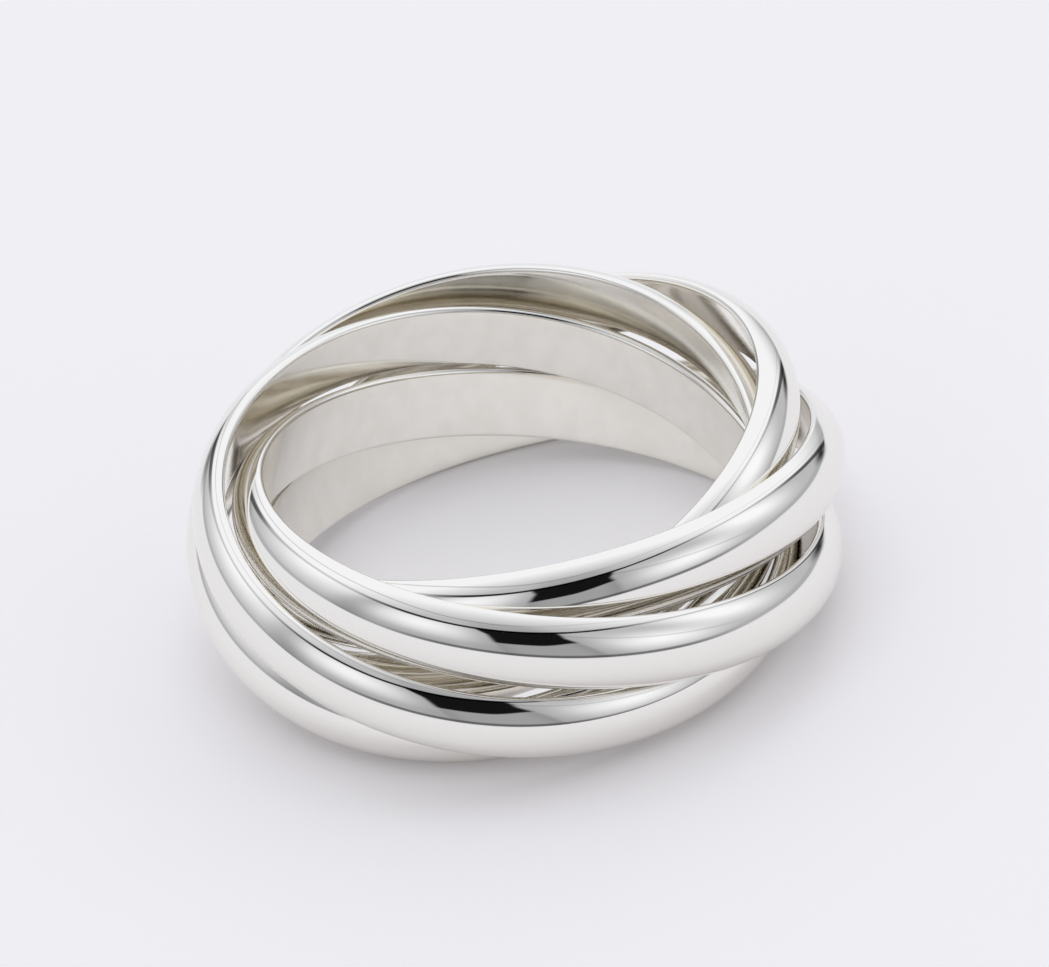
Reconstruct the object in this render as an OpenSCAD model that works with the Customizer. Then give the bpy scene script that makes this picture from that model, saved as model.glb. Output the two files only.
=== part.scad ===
// Russian wedding ring: five plain half-round bands of one size, each linked through the other four.
// The ring lies on its side. Every band tilts, with its low rim on the surface and its high rim
// opposite, and sits a little off centre, so that it goes over one neighbour and under the other.
// The origin is the centre of the footprint, on the surface.

/* [Band] */
// Radius of the flat inner face
inner_r = 10; // [9.6:0.1:12]
// Width of a band, from rim to rim
band_w = 2.8; // [2.6:0.05:2.8]
// Thickness of a band, from the flat inner face to the crown of the half-round outside
band_t = 1.05; // [0.9:0.05:1.1]
// Radius of the rounded rims
rim_r = 0.17; // [0.1:0.01:0.2]

/* [Hidden] */
$fn = 180;
silver = [0.87, 0.87, 0.86];

// How each band lies, one row for each, anticlockwise from the back.
// Columns: azimuth of the high side, rise of the high side over the band's centre,
// shift of the centre off the middle, azimuth of the shift
HIGH = 0;
RISE = 1;
SHIFT = 2;
SHIFT_TO = 3;
lie = [
    [74, 2.95, 1.2, 159],
    [143, 3, 1.2, 231],
    [209, 2.85, 1.2, 303],
    [280, 2.65, 1.2, 26],
    [1, 2.85, 1.45, 86],
];

// The section of a band: a crown arc that runs into two rim arcs, and a straight inner side
rim_x = inner_r + rim_r;
rim_y = band_w / 2 - rim_r;
crown_r = ((band_t - rim_r) ^ 2 + rim_y ^ 2 - rim_r ^ 2) / (2 * (band_t - 2 * rim_r));
crown_x = inner_r + band_t - crown_r;
// Slope at which the crown arc meets a rim arc, seen from the crown's centre
shoulder = atan2(rim_y, rim_x - crown_x);
// Height at which the line of that slope passes the inner face
seam_y = (inner_r - crown_x) * tan(shoulder);
clear = 2 * band_t;

// The tilt that gives the rise at the middle of the band's thickness
function tilt(row) = asin(row[RISE] / (inner_r + band_t / 2));
function height(row) = reach(sin(tilt(row)), cos(tilt(row)));

// Furthest that a band gets from its centre in a direction with these two parts,
// across its axis and along it
function reach(across, along) =
    atan2(along, across) < shoulder
        ? crown_x * across + crown_r
        : rim_x * across + rim_y * along + rim_r;

// Furthest that a band gets along X or Y from the middle, on the side where sign is 1 or -1
function extent(row, azimuth) =
    let(along = abs(sin(tilt(row)) * cos(row[HIGH] - azimuth)))
    row[SHIFT] * cos(row[SHIFT_TO] - azimuth) + reach(sqrt(1 - along ^ 2), along);
function furthest(azimuth) = max([for (row = lie) extent(row, azimuth)]);
middle_x = (furthest(0) - furthest(180)) / 2;
middle_y = (furthest(90) - furthest(270)) / 2;

// A sector of the crown circle between the two shoulders, cut off at the inner face
module crown() {
    intersection() {
        translate([crown_x, 0]) circle(r = crown_r);
        polygon([
            [inner_r, -seam_y],
            [inner_r + clear, -seam_y - clear * tan(shoulder)],
            [inner_r + clear, seam_y + clear * tan(shoulder)],
            [inner_r, seam_y],
        ]);
    }
}

module section() {
    crown();
    translate([inner_r, -rim_y]) square([rim_r, 2 * rim_y]);
    for (side = [-1, 1]) translate([rim_x, side * rim_y]) circle(r = rim_r);
}

module laid_band(row) {
    translate([
        row[SHIFT] * cos(row[SHIFT_TO]) - middle_x,
        row[SHIFT] * sin(row[SHIFT_TO]) - middle_y,
        height(row),
    ])
        rotate([0, -tilt(row), row[HIGH]])
            rotate_extrude() section();
}

module band_1() { color(silver) laid_band(lie[0]); }
module band_2() { color(silver) laid_band(lie[1]); }
module band_3() { color(silver) laid_band(lie[2]); }
module band_4() { color(silver) laid_band(lie[3]); }
module band_5() { color(silver) laid_band(lie[4]); }

band_1();
band_2();
band_3();
band_4();
band_5();
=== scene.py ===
from math import asin, atan2, cos, degrees, hypot, pi, radians, sin

import bmesh
import bpy
from mathutils import Matrix, Vector


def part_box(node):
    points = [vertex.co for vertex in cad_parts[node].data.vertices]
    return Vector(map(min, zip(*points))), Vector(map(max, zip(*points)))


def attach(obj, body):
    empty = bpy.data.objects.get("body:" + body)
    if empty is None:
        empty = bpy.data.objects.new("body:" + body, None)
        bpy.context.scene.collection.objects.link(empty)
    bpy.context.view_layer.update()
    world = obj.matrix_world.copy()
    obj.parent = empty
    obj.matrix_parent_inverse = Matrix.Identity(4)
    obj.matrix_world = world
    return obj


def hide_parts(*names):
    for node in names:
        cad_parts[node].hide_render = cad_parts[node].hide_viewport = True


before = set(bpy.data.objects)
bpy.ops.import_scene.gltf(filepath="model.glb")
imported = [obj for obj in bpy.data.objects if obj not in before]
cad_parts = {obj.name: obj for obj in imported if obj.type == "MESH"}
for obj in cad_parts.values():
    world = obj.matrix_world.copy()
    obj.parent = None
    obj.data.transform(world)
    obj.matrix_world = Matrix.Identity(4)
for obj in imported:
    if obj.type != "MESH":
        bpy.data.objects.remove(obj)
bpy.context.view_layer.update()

mm = 0.001

# The view: a long lens in front of the ring, about a third of the way up from the surface to
# straight above, and rolled a little because the ring lay on a slope. Plain perspective, no shift.
view_distance = 261.9 * mm
view_elevation = radians(34.52)
view_roll = radians(9.94)
view_middle = Vector((0.01, -0.26, 4)) * mm
lens_mm = 248.4
sensor_mm = 36
nearest_seen = 10 * mm
furthest_seen = 10
# How far the middle of the picture is from the ring's middle, right and up in the picture
aim_right = 0.25 * mm
aim_up = 1.071 * mm

camera = bpy.data.objects.new("camera", bpy.data.cameras.new("camera"))
bpy.context.scene.collection.objects.link(camera)
bpy.context.scene.camera = camera
camera.data.sensor_width = sensor_mm
camera.data.lens = lens_mm
camera.data.clip_start = nearest_seen
camera.data.clip_end = furthest_seen
back = Vector((0, -cos(view_elevation), sin(view_elevation)))
tilt_up = Matrix.Rotation(pi / 2 - view_elevation, 4, "X")
rolled = tilt_up @ Matrix.Rotation(-view_roll, 4, "Z")
eye = view_middle + back * view_distance
aim = view_middle + rolled.to_3x3() @ Vector((aim_right, aim_up, 0))
turn = (aim - eye).to_track_quat("-Z", "Y").to_matrix().to_4x4()
up_now = turn.to_3x3() @ Vector((0, 1, 0))
up_wanted = rolled.to_3x3() @ Vector((0, 1, 0))
right_now = turn.to_3x3() @ Vector((1, 0, 0))
extra_roll = atan2(-up_wanted.dot(right_now), up_wanted.dot(up_now))
camera.matrix_world = Matrix.Translation(eye) @ turn @ Matrix.Rotation(extra_roll, 4, "Z")


# The five bands. Each is turned from a strip of sterling silver, half-round outside and flat inside,
# and soldered shut through the loops of the others. The outside and the rims are buffed to a
# mirror, and the flat inner face keeps a fine satin from its sanding round the band.
inner_r = 10 * mm
band_w = 2.8 * mm
band_t = 1.05 * mm
rim_r = 0.17 * mm
# Azimuth of each band's high side in degrees, and its rise over the band's centre in millimetres
lie = {
    "band_1": (74, 2.95),
    "band_2": (143, 3),
    "band_3": (209, 2.85),
    "band_4": (280, 2.65),
    "band_5": (1, 2.85),
}
steps_round = 360
steps_crown = 40
steps_rim = 12
steps_face = 10
weld_distance = 0.0001 * mm
# A face is on the inner side when its middle is within this of the inner radius
inner_margin = 0.01 * rim_r
face_slot, outside_slot = 0, 1

half_face = band_w / 2 - rim_r
crown_r = ((band_t - rim_r) ** 2 + half_face ** 2 - rim_r ** 2) / (2 * (band_t - 2 * rim_r))
crown_centre = Vector((inner_r + band_t - crown_r, 0, 0))
shoulder = atan2(half_face, inner_r + rim_r - crown_centre.x)


def turned(mesh, start, centre, angle, steps):
    """Draws an arc of a section in the XZ plane from a vertex, and gives the arc's far vertex."""
    out = bmesh.ops.spin(mesh, geom=[start], cent=centre, axis=(0, -1, 0), angle=angle, steps=steps)
    return next(part for part in out["geom_last"] if isinstance(part, bmesh.types.BMVert))


def draw_section(mesh):
    """The closed outline of a band's section: rim, crown, rim and the flat inner face."""
    low_rim = Vector((inner_r + rim_r, 0, -half_face))
    high_rim = Vector((inner_r + rim_r, 0, half_face))
    first = mesh.verts.new(low_rim - Vector((rim_r, 0, 0)))
    rim_end = turned(mesh, first, low_rim, pi - shoulder, steps_rim)
    crown_end = turned(mesh, rim_end, crown_centre, 2 * shoulder, steps_crown)
    last = turned(mesh, crown_end, high_rim, pi - shoulder, steps_rim)
    face = mesh.edges.new((last, first))
    bmesh.ops.subdivide_edges(mesh, edges=[face], cuts=steps_face - 1)


class Signal:
    """A shader socket. Sums on it add Math nodes, and make() adds any other node."""

    def __init__(self, tree, socket=None):
        self.tree = tree
        self.socket = socket

    def make(self, kind, sockets=None, out=0, **settings):
        node = self.tree.nodes.new("ShaderNode" + kind)
        for name, value in settings.items():
            setattr(node, name, value)
        for key, value in (sockets or {}).items():
            if isinstance(value, Signal):
                self.tree.links.new(value.socket, node.inputs[key])
            else:
                node.inputs[key].default_value = value
        return Signal(self.tree, node.outputs[out] if node.outputs else None)

    def math(self, operation, *values):
        return self.make("Math", dict(enumerate(values)), operation=operation)

    def __add__(self, other):
        return self.math("ADD", self, other)

    def __radd__(self, other):
        return self.math("ADD", other, self)

    def __sub__(self, other):
        return self.math("SUBTRACT", self, other)

    def __rsub__(self, other):
        return self.math("SUBTRACT", other, self)

    def __mul__(self, other):
        return self.math("MULTIPLY", self, other)

    def __rmul__(self, other):
        return self.math("MULTIPLY", other, self)

    def __truediv__(self, other):
        return self.math("DIVIDE", self, other)

    def __pow__(self, other):
        return self.math("POWER", self, other)

    def step(self, start, end):
        """0 at start, 1 at end, smooth between them; start may be the larger."""
        sockets = {"Value": self, "From Min": start, "From Max": end, "To Min": 0.0, "To Max": 1.0}
        return self.make("MapRange", sockets, interpolation_type="SMOOTHSTEP")


def new_material(name):
    material = bpy.data.materials.new(name)
    material.use_nodes = True
    material.node_tree.nodes.clear()
    return material, Signal(material.node_tree)


def blended(shade, part, colour, other_colour):
    """The colour where part is 0, the other where it is 1. A Mix node's colours are 6, 7 and out 2."""
    return shade.make("Mix", {0: part, 6: colour, 7: other_colour}, out=2, data_type="RGBA")


# Low down, where two bands shut each other in, the silver's colour goes over to a dark brown. This is
# painted shade for the light mirrored to and fro in the gaps. It starts where the share of open air within
# its reach falls under the first limit, and is full at the second. Upwards it fades out between the two
# heights.
gap_shade_from_air, gap_shade_full_air = 0.5, 0.05
gap_shade_top = 6.5 * mm
gap_shade_full = 4.5 * mm
air_samples = 4


def with_painted_gap_shade(shade, reach, gap_shade_colour, unshaded_colour):
    """The unshaded colour, with the painted shade's colour low down where bands shut each other in."""
    open_air = shade.make("AmbientOcclusion", {"Distance": reach}, out="AO", samples=air_samples)
    object_place = shade.make("TexCoord", out="Object")
    height = shade.make("SeparateXYZ", {"Vector": object_place}, out="Z")
    gap_shade = open_air.step(gap_shade_from_air, gap_shade_full_air) * height.step(gap_shade_top, gap_shade_full)
    return blended(shade, gap_shade, unshaded_colour, gap_shade_colour)


# The mirror-bright outside, with a faint haze that comes and goes round the band
# How far the outside's painted brown shade in the gaps reaches, and its colour
polished_gap_reach = 1.5 * mm
polished_gap_shade = (0.14, 0.11, 0.07, 1)
polished_colour = (0.9, 0.882, 0.843, 1)
polished_roughness, haze_roughness = 0.02, 0.03
haze_scale = 0.9
haze_detail = 3.0
polished_silver, shade = new_material("polished_silver")
place = shade.make("Attribute", attribute_name="own_place", out="Vector")
haze = shade.make("TexNoise", {"Vector": place, "Scale": haze_scale, "Detail": haze_detail})
surface = shade.make("BsdfPrincipled", {
    # The colour is darkened to brown in the gaps between bands: painted shade
    "Base Color": with_painted_gap_shade(shade, polished_gap_reach, polished_gap_shade, polished_colour),
    "Metallic": 1.0,
    "Roughness": polished_roughness + haze_roughness * haze,
})
shade.make("OutputMaterial", {"Surface": surface})

# The satin of the inner face, blurred across the lines of the sanding. Faint clouds in it, drawn out
# across the band, differ in tone and in shine, and dapple it.
# How far the inner face's painted shade along the lines where it meets the next band reaches, and its
# colour
satin_gap_reach = 0.5 * mm
satin_gap_shade = (0.62, 0.57, 0.48, 1)
dull_satin = (0.895, 0.869, 0.808, 1)
bright_satin = (0.94, 0.914, 0.854, 1)
satin_roughness, cloud_roughness = 0.08, 0.08
sanding_stretch = 0.5
sanding_turn = 0.25
cloud_stretch = (1, 1, 0.7)
cloud_scale = 1.1
cloud_detail = 5.0
cloud_dull, cloud_bright = 0.3, 0.7
dapple_depth = 0.003 * mm
satin_silver, shade = new_material("satin_silver")
place = shade.make("Attribute", attribute_name="own_place", out="Vector")
drawn_out = shade.make("VectorMath", {0: place, 1: cloud_stretch}, operation="MULTIPLY")
cloud = shade.make("TexNoise", {"Vector": drawn_out, "Scale": cloud_scale, "Detail": cloud_detail})
satin_tone = blended(shade, cloud.step(cloud_dull, cloud_bright), dull_satin, bright_satin)
surface = shade.make("BsdfPrincipled", {
    # The colour is darkened near the next band: painted shade
    "Base Color": with_painted_gap_shade(shade, satin_gap_reach, satin_gap_shade, satin_tone),
    "Metallic": 1.0,
    "Roughness": satin_roughness + cloud_roughness * cloud,
    "Anisotropic": sanding_stretch,
    "Anisotropic Rotation": sanding_turn,
    "Normal": shade.make("Bump", {"Height": cloud, "Distance": dapple_depth}),
})
shade.make("OutputMaterial", {"Surface": surface})


def make_band(name):
    high, rise = lie[name]
    mesh = bmesh.new()
    draw_section(mesh)
    outline = mesh.verts[:] + mesh.edges[:]
    bmesh.ops.spin(mesh, geom=outline, axis=(0, 0, 1), angle=2 * pi, steps=steps_round, use_merge=True)
    bmesh.ops.remove_doubles(mesh, verts=mesh.verts, dist=weld_distance)
    bmesh.ops.recalc_face_normals(mesh, faces=mesh.faces)
    own_place = mesh.verts.layers.float_vector.new("own_place")
    for vert in mesh.verts:
        vert[own_place] = vert.co / mm
    for face in mesh.faces:
        middle = face.calc_center_median()
        is_inner = hypot(middle.x, middle.y) < inner_r + inner_margin
        face.material_index = face_slot if is_inner else outside_slot
        face.smooth = True
    low, top = (Vector(corner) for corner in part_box(name))
    tilt = asin(rise * mm / (inner_r + band_t / 2))
    lean = Matrix.Rotation(radians(high), 4, "Z") @ Matrix.Rotation(-tilt, 4, "Y")
    mesh.transform(Matrix.Translation((low + top) / 2) @ lean)
    data = bpy.data.meshes.new(name + "_silver")
    mesh.to_mesh(data)
    mesh.free()
    band = bpy.data.objects.new(name + "_silver", data)
    bpy.context.scene.collection.objects.link(band)
    data.materials.append(satin_silver)
    data.materials.append(polished_silver)
    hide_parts(name)
    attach(band, name)


for name in lie:
    make_band(name)

# The surface that the ring lies on: a plain pale board, soft-edged where it leaves the light tent. A
# little light comes up through it as an even glow. Near the ring the glow is darkened, as a painted contact
# shadow.
floor_size = 200 * mm
board_r = 47 * mm
board_edge = 16 * mm
board_colour = (0.66, 0.643, 0.647, 1)
board_roughness = 0.9
glow_strength = 0.38
painted_shadow_glow = (0.6, 0.575, 0.585, 1)
open_glow = (1.0, 0.99, 1.03, 1)
shade_reach = 3 * mm
shade_full_air, shade_from_air = 0.2, 0.95
shade_samples = 3
bpy.ops.mesh.primitive_plane_add(size=floor_size)
floor = bpy.context.object
floor.name = "floor"
pale_board, shade = new_material("pale_board")
# The share of open air near the ring darkens the board's glow: a painted contact shadow
open_air = shade.make("AmbientOcclusion", {"Distance": shade_reach}, out="AO", samples=shade_samples)
board = shade.make("BsdfPrincipled", {
    "Base Color": board_colour,
    "Roughness": board_roughness,
    "Emission Color": blended(shade, open_air.step(shade_full_air, shade_from_air), painted_shadow_glow, open_glow),
    "Emission Strength": glow_strength,
})
nothing = shade.make("BsdfTransparent")
floor_place = shade.make("TexCoord", out="Object")
from_ring = shade.make("VectorMath", {0: floor_place}, out="Value", operation="LENGTH")
past_edge = from_ring.step(board_r, board_r + board_edge)
surface = shade.make("MixShader", {0: past_edge, 1: board, 2: nothing})
shade.make("OutputMaterial", {"Surface": surface})
floor.data.materials.append(pale_board)

# The light: a white light tent round the ring. One sheet runs up behind the ring and over it, lit from
# the back, so that it is greyer towards the front. Under it stand the walls, lit by soft lamps, with a
# dark opening in front that the camera looks in by. Angles are in degrees: azimuths from the front and
# positive to the right, elevations up from the surface. Shades are the share of the light that is
# lost. Pairs are where something starts and where it is full.
world = bpy.data.worlds.new("light_tent")
bpy.context.scene.world = world
world.use_nodes = True
world.node_tree.nodes.clear()
sky = Signal(world.node_tree)
split = sky.make("SeparateXYZ", {"Vector": sky.make("TexCoord")}).socket.node
x, y, z = (Signal(world.node_tree, split.outputs[i]) for i in range(3))
azimuth = sky.math("ARCTAN2", x, 0 - y) * degrees(1)
elevation = sky.math("ARCSINE", z) * degrees(1)


def size_of(signal):
    return sky.math("ABSOLUTE", signal)


def spot(across, up):
    """1 in the middle of a soft round spot, 0 from where the two parts reach 1."""
    return sky.math("SQRT", across ** 2 + up ** 2).step(1, 0)


# The walls, with each lamp's glow on them: azimuth, elevation, half-width, half-height, brightness
wall_light = 0.58
wall_most = 1.12
glows = [
    (-115, 46, 60, 42, 0.55),
    (-47, 40, 38, 32, 0.5),
    (52, 22, 36, 30, 0.54),
    (97, 34, 32, 34, 0.6),
]
walls = wall_light
for glow_azimuth, glow_elevation, half_w, half_h, glow in glows:
    walls = walls + glow * spot((azimuth - glow_azimuth) / half_w, (elevation - glow_elevation) / half_h)
walls = sky.math("MINIMUM", walls, wall_most)

# A seam of the left wall, which fades out under the sheet
seam_azimuth = -76
seam_across = (14, 0)
seam_down = (60, 45)
seam_shade = 0.3
seam = size_of(azimuth - seam_azimuth).step(*seam_across) * elevation.step(*seam_down)
walls = walls * (1 - seam_shade * seam)

# A fold of the right wall, which falls from the roof down to the right
fold_foot = 94
fold_slant = 1.4
fold_across = (4, 1)
fold_up = (8, 18)
fold_shade = 0.22
from_fold = size_of(azimuth + fold_slant * elevation - fold_foot)
walls = walls * (1 - fold_shade * from_fold.step(*fold_across) * elevation.step(*fold_up))

# The walls are in shade next to the opening, and low down on the left
opening_azimuth = 3
jamb_across = (34, 18)
jamb_shade = 0.2
low_left_azimuth = -45
low_left_across = (50, 20)
low_left_down = (24, 10)
low_left_shade = 0.15
from_opening = size_of(azimuth - opening_azimuth)
walls = walls * (1 - jamb_shade * from_opening.step(*jamb_across))
from_low_left = size_of(azimuth - low_left_azimuth)
low_left = from_low_left.step(*low_left_across) * elevation.step(*low_left_down)
walls = walls * (1 - low_left_shade * low_left)

# The opening flares towards the top, and has a grey sill, which is higher on the right
opening_half_w = 18
opening_flare = 5
flare_up = (42, 56)
opening_across = (2, -1.5)
opening_light = 0.008
sill_elevation = 26
sill_rise = 7
sill_rise_across = (2, 22)
sill_down = (1.5, -1.5)
sill_light = 0.39
sill_side_light = 0.06
sill_sides = (10, 18)
half_opening = opening_half_w + opening_flare * elevation.step(*flare_up)
opening = (from_opening - half_opening).step(*opening_across)
sill_edge = sill_elevation + sill_rise * azimuth.step(*sill_rise_across)
sill_lit = sill_light - sill_side_light * from_opening.step(*sill_sides)
sill = (elevation - sill_edge).step(*sill_down) * sill_lit
walls = walls * (1 - opening) + opening * (sill + opening_light)

# The sheet's lower edge is an arch, highest near the front and down to the surface at the back
sheet_edge = 57
sheet_edge_lean = 3
sheet_middle = -9
sheet_reach = 152
sheet_curve = 5
sheet_light = 0.9
sheet_fall = 0.95
sheet_least, sheet_most = 0.58, 1.07
from_middle = size_of(azimuth - sheet_middle)
edge = sheet_edge * (1 - (from_middle / sheet_reach) ** sheet_curve) + sheet_edge_lean * x
sheet = sky.math("MAXIMUM", sheet_light + sheet_fall * y, sheet_least)
sheet = sky.math("MINIMUM", sheet, sheet_most)

# It is dimmer over the opening, and a sewn hem runs along above its edge
over_opening_across = (36, 12)
over_opening_down = (76, 62)
over_opening_shade = 0.25
hem_width = 13
hem_lean = 3
hem_across = (1.8, 0.6)
hem_shade = 0.35
hem_right_shade = 0.2
hem_right = (0, 40)
over_opening = from_opening.step(*over_opening_across) * elevation.step(*over_opening_down)
sheet = sheet * (1 - over_opening_shade * over_opening)
from_hem = size_of(elevation - edge - hem_width + hem_lean * x)
hem_depth = hem_shade - hem_right_shade * azimuth.step(*hem_right)
sheet = sheet * (1 - hem_depth * from_hem.step(*hem_across))

# Near the surface the sheet is in shade, but for a strip straight behind the ring
behind_across = (156, 168)
low_sheet_down = (26, -2)
low_sheet_shade = 0.5
edge_blur = 0.5
behind = size_of(azimuth).step(*behind_across)
sheet = sheet * (1 - low_sheet_shade * elevation.step(*low_sheet_down) * (1 - behind))
above_edge = elevation.step(edge - edge_blur, edge + edge_blur)
light = walls * (1 - above_edge) + sheet * above_edge

# The edge shows as a dark line, deepest in front, thinner on the right and wide at both of its ends
line_half_w = 3
line_end_w = 3.5
line_ends = (112, 142)
line_right_w = 0.8
line_right = (26, 40)
line_drop = 1.5
line_across = (1, 0.45)
line_shade = 0.35
line_front_shade = 0.62
line_front_azimuth = -2
line_front = (95, 55)
line_end_shade = 0.82
line_end_across = (122, 140)
line_w = line_half_w + line_end_w * from_middle.step(*line_ends) - line_right_w * azimuth.step(*line_right)
from_edge = size_of(elevation - edge + line_drop) / line_w
from_line_front = size_of(azimuth - line_front_azimuth)
depth = line_shade + line_front_shade * from_line_front.step(*line_front)
end_depth = line_end_shade * from_middle.step(*line_end_across)
light = light * (1 - sky.math("MAXIMUM", depth, end_depth) * from_edge.step(*line_across))

# The far rim of the surface leans, and is higher at the sides. It is in shade, most in front, and
# under it is the pale room.
rim_lean = 4.5
rim_side_rise = 6
rim_sides = (50, 95)
rim_front_azimuth = 5
rim_front = (75, 40)
rim_across = (5, 1.5)
rim_shade = 0.15
rim_front_shade = 0.5
room_down = (-2, -3)
room_light = 0.92
over_rim = elevation + rim_lean * x - rim_side_rise * size_of(azimuth).step(*rim_sides)
rim_depth = rim_shade + rim_front_shade * size_of(azimuth - rim_front_azimuth).step(*rim_front)
dusk = size_of(over_rim).step(*rim_across) * rim_depth
below = over_rim.step(*room_down)
light = (light * (1 - below) + room_light * below) * (1 - dusk)

# The dark feet of the stands that hold the sheet's ends: azimuth, elevation, half-width, half-height
# and shade
feet = [
    (136, 4, 11, 8, 0.95),
    (-150, 4, 12, 10, 0.7),
]
for foot_azimuth, foot_elevation, half_w, half_h, foot_shade in feet:
    foot = spot((azimuth - foot_azimuth) / half_w, (elevation - foot_elevation) / half_h)
    light = light * (1 - foot_shade * foot)

daylight = (0.935, 0.952, 1.0, 1)
tent = sky.make("Background", {"Color": daylight, "Strength": light})
sky.make("OutputWorld", {"Surface": tent})
# The tent is so wide and even that its light is found in half the time when no rays are aimed at it
world.cycles.sampling_method = "NONE"

# Light goes on mirroring to and fro between the bands, so it is followed further than by default
bounces = 14
mirror_bounces = 12
bpy.context.scene.cycles.max_bounces = bounces
bpy.context.scene.cycles.glossy_bounces = mirror_bounces
bpy.context.scene.view_settings.view_transform = "Standard"
